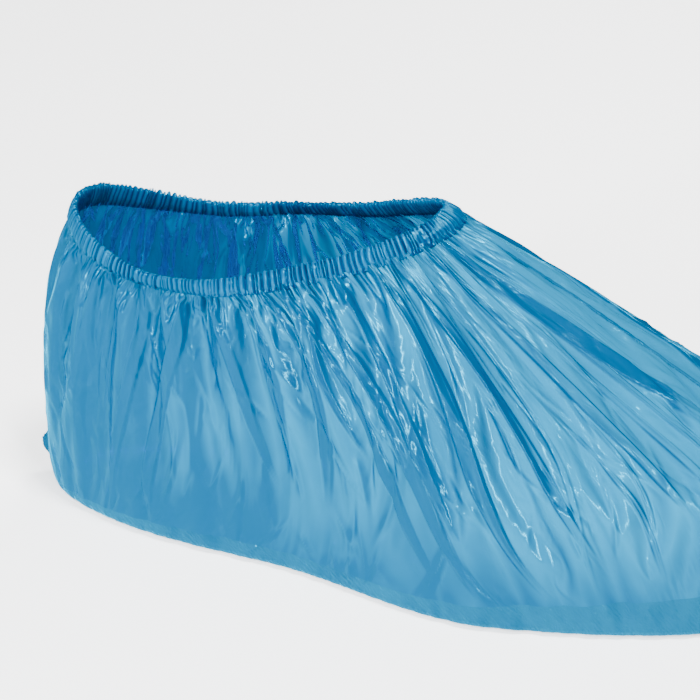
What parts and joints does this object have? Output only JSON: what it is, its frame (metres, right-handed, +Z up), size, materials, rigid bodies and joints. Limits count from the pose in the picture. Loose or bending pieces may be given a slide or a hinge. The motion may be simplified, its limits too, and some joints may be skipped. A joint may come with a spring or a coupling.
{
  "type": "disposable shoe cover",
  "caption": "Disposable overshoe of thin translucent film with a gathered elastic hem, worn over a shoe to keep a floor clean.",
  "frame": {"origin": "on the floor under the middle of the sole, half-way between heel and toe", "axes": "+X towards the toe, -Y the outer side of a right foot, +Z up"},
  "size_m": [0.3014, 0.118, 0.1357],
  "materials": {
    "film": "glossy translucent film",
    "hem_film": "glossy gathered film",
    "sole_film": "satin embossed film"
  },
  "bodies": {
    "root": {"sole_panel": "sole_film", "outer_panel": "film", "inner_panel": "film", "elastic_hem": "hem_film", "heel_seam": "film", "toe_seam": "film"}
  },
  "joints": []
}
